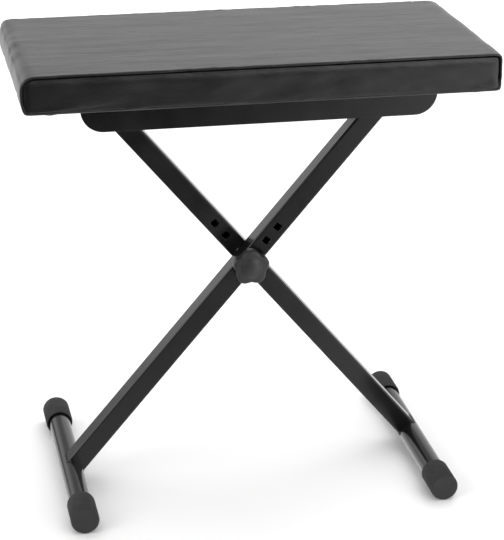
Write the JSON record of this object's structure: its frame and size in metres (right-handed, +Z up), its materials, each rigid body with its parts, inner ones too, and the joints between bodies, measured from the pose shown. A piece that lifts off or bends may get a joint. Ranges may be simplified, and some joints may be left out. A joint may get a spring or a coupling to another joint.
{
  "type": "piano bench",
  "caption": "Folding X-frame keyboard bench: padded rectangular vinyl seat on a steel tray, crossed box-tube legs with a star-knob clamp and three height holes, and capped foot tubes.",
  "frame": {"origin": "on the floor under the middle of the seat", "axes": "+Z up, X along the seat's length, +Y towards the back; the knob faces -Y"},
  "size_m": [0.58, 0.328, 0.59],
  "materials": {
    "vinyl": "soft sheen, fine grain",
    "foam": "open-cell foam",
    "plywood": "raw",
    "black_steel": "satin powder coat",
    "zinc_steel": "zinc plated",
    "nylon": "moulded",
    "foot_rubber": "matte, ribbed",
    "knob_plastic": "satin moulded",
    "brass": "turned"
  },
  "bodies": {
    "seat": {"seat_cover": "vinyl", "seat_foam": "foam", "seat_board": "plywood", "seat_tray": "black_steel", "t_nut_1": "zinc_steel", "t_nut_2": "zinc_steel", "t_nut_3": "zinc_steel", "t_nut_4": "zinc_steel", "tray_screw_1": "zinc_steel", "tray_screw_2": "zinc_steel", "tray_screw_3": "zinc_steel", "tray_screw_4": "zinc_steel", "pivot_bracket_left": "black_steel", "pivot_bracket_right": "black_steel", "pivot_bolt_left": "zinc_steel", "pivot_bolt_right": "zinc_steel", "pivot_nut_left": "zinc_steel", "pivot_nut_right": "zinc_steel", "pivot_washer_left_front": "nylon", "pivot_washer_left_rear": "nylon", "pivot_washer_right_front": "nylon", "pivot_washer_right_rear": "nylon"},
    "rear_leg": {"leg_rear": "black_steel", "foot_tube_right": "black_steel", "foot_cap_right_front": "foot_rubber", "foot_cap_right_rear": "foot_rubber"},
    "front_leg": {"leg_front": "black_steel", "foot_tube_left": "black_steel", "foot_cap_left_front": "foot_rubber", "foot_cap_left_rear": "foot_rubber", "leg_spacer_washer": "nylon"},
    "clamp_front": {"clamp_bolt_tip": "zinc_steel", "clamp_washer": "zinc_steel"},
    "knob": {"star_knob": "knob_plastic", "knob_insert": "brass"},
    "clamp_rear": {"clamp_bolt": "zinc_steel"}
  },
  "joints": [
    {"name": "rear_leg_fold", "type": "hinge", "parent": "seat", "child": "rear_leg", "pos_m": [-0.187, 0, 0.5185], "axis": [0, -1, 0], "range_deg": [0, 45]},
    {"name": "front_leg_fold", "type": "hinge", "parent": "seat", "child": "front_leg", "pos_m": [0.187, 0, 0.5185], "axis": [0, 1, 0], "range_deg": [0, 45]},
    {"name": "clamp_front_pull", "type": "slide", "parent": "front_leg", "child": "clamp_front", "axis": [0, -1, 0], "range_m": [0, 0.03]},
    {"name": "knob_turn", "type": "hinge", "parent": "clamp_front", "child": "knob", "pos_m": [0, -0.0282, 0.29608], "axis": [0, -1, 0], "continuous": true},
    {"name": "clamp_bolt_pull", "type": "slide", "parent": "rear_leg", "child": "clamp_rear", "axis": [0, 1, 0], "range_m": [0, 0.03]}
  ],
  "couplings": [
    {"joint": "front_leg_fold", "follows": "rear_leg_fold", "ratio": 1}
  ]
}
